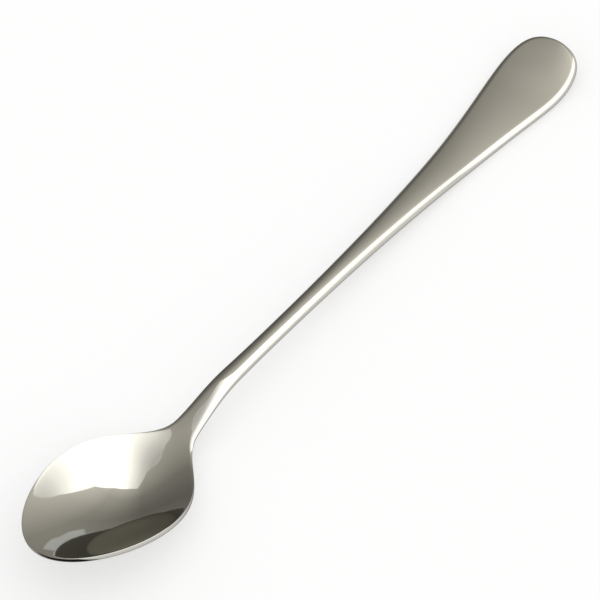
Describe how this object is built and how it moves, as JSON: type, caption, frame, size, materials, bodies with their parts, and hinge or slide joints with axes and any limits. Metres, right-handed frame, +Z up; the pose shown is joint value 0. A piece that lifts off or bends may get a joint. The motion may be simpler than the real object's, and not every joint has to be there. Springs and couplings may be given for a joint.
{
  "type": "melon spoon",
  "caption": "Polished stainless melon spoon with a rounded bowl, an arched neck, a slim stem and a flared handle with a round, slightly turned-up end",
  "frame": {"origin": "the table surface under the middle of the spoon's length, lying face up", "axes": "+X from the tip of the bowl to the end of the handle, +Y across the bowl, +Z up out of the hollow"},
  "size_m": [0.174, 0.0282, 0.0142],
  "materials": {
    "polished_steel": "mirror polished stainless steel"
  },
  "bodies": {
    "root": {"bowl": "polished_steel", "neck": "polished_steel", "stem": "polished_steel", "handle": "polished_steel"}
  },
  "joints": []
}
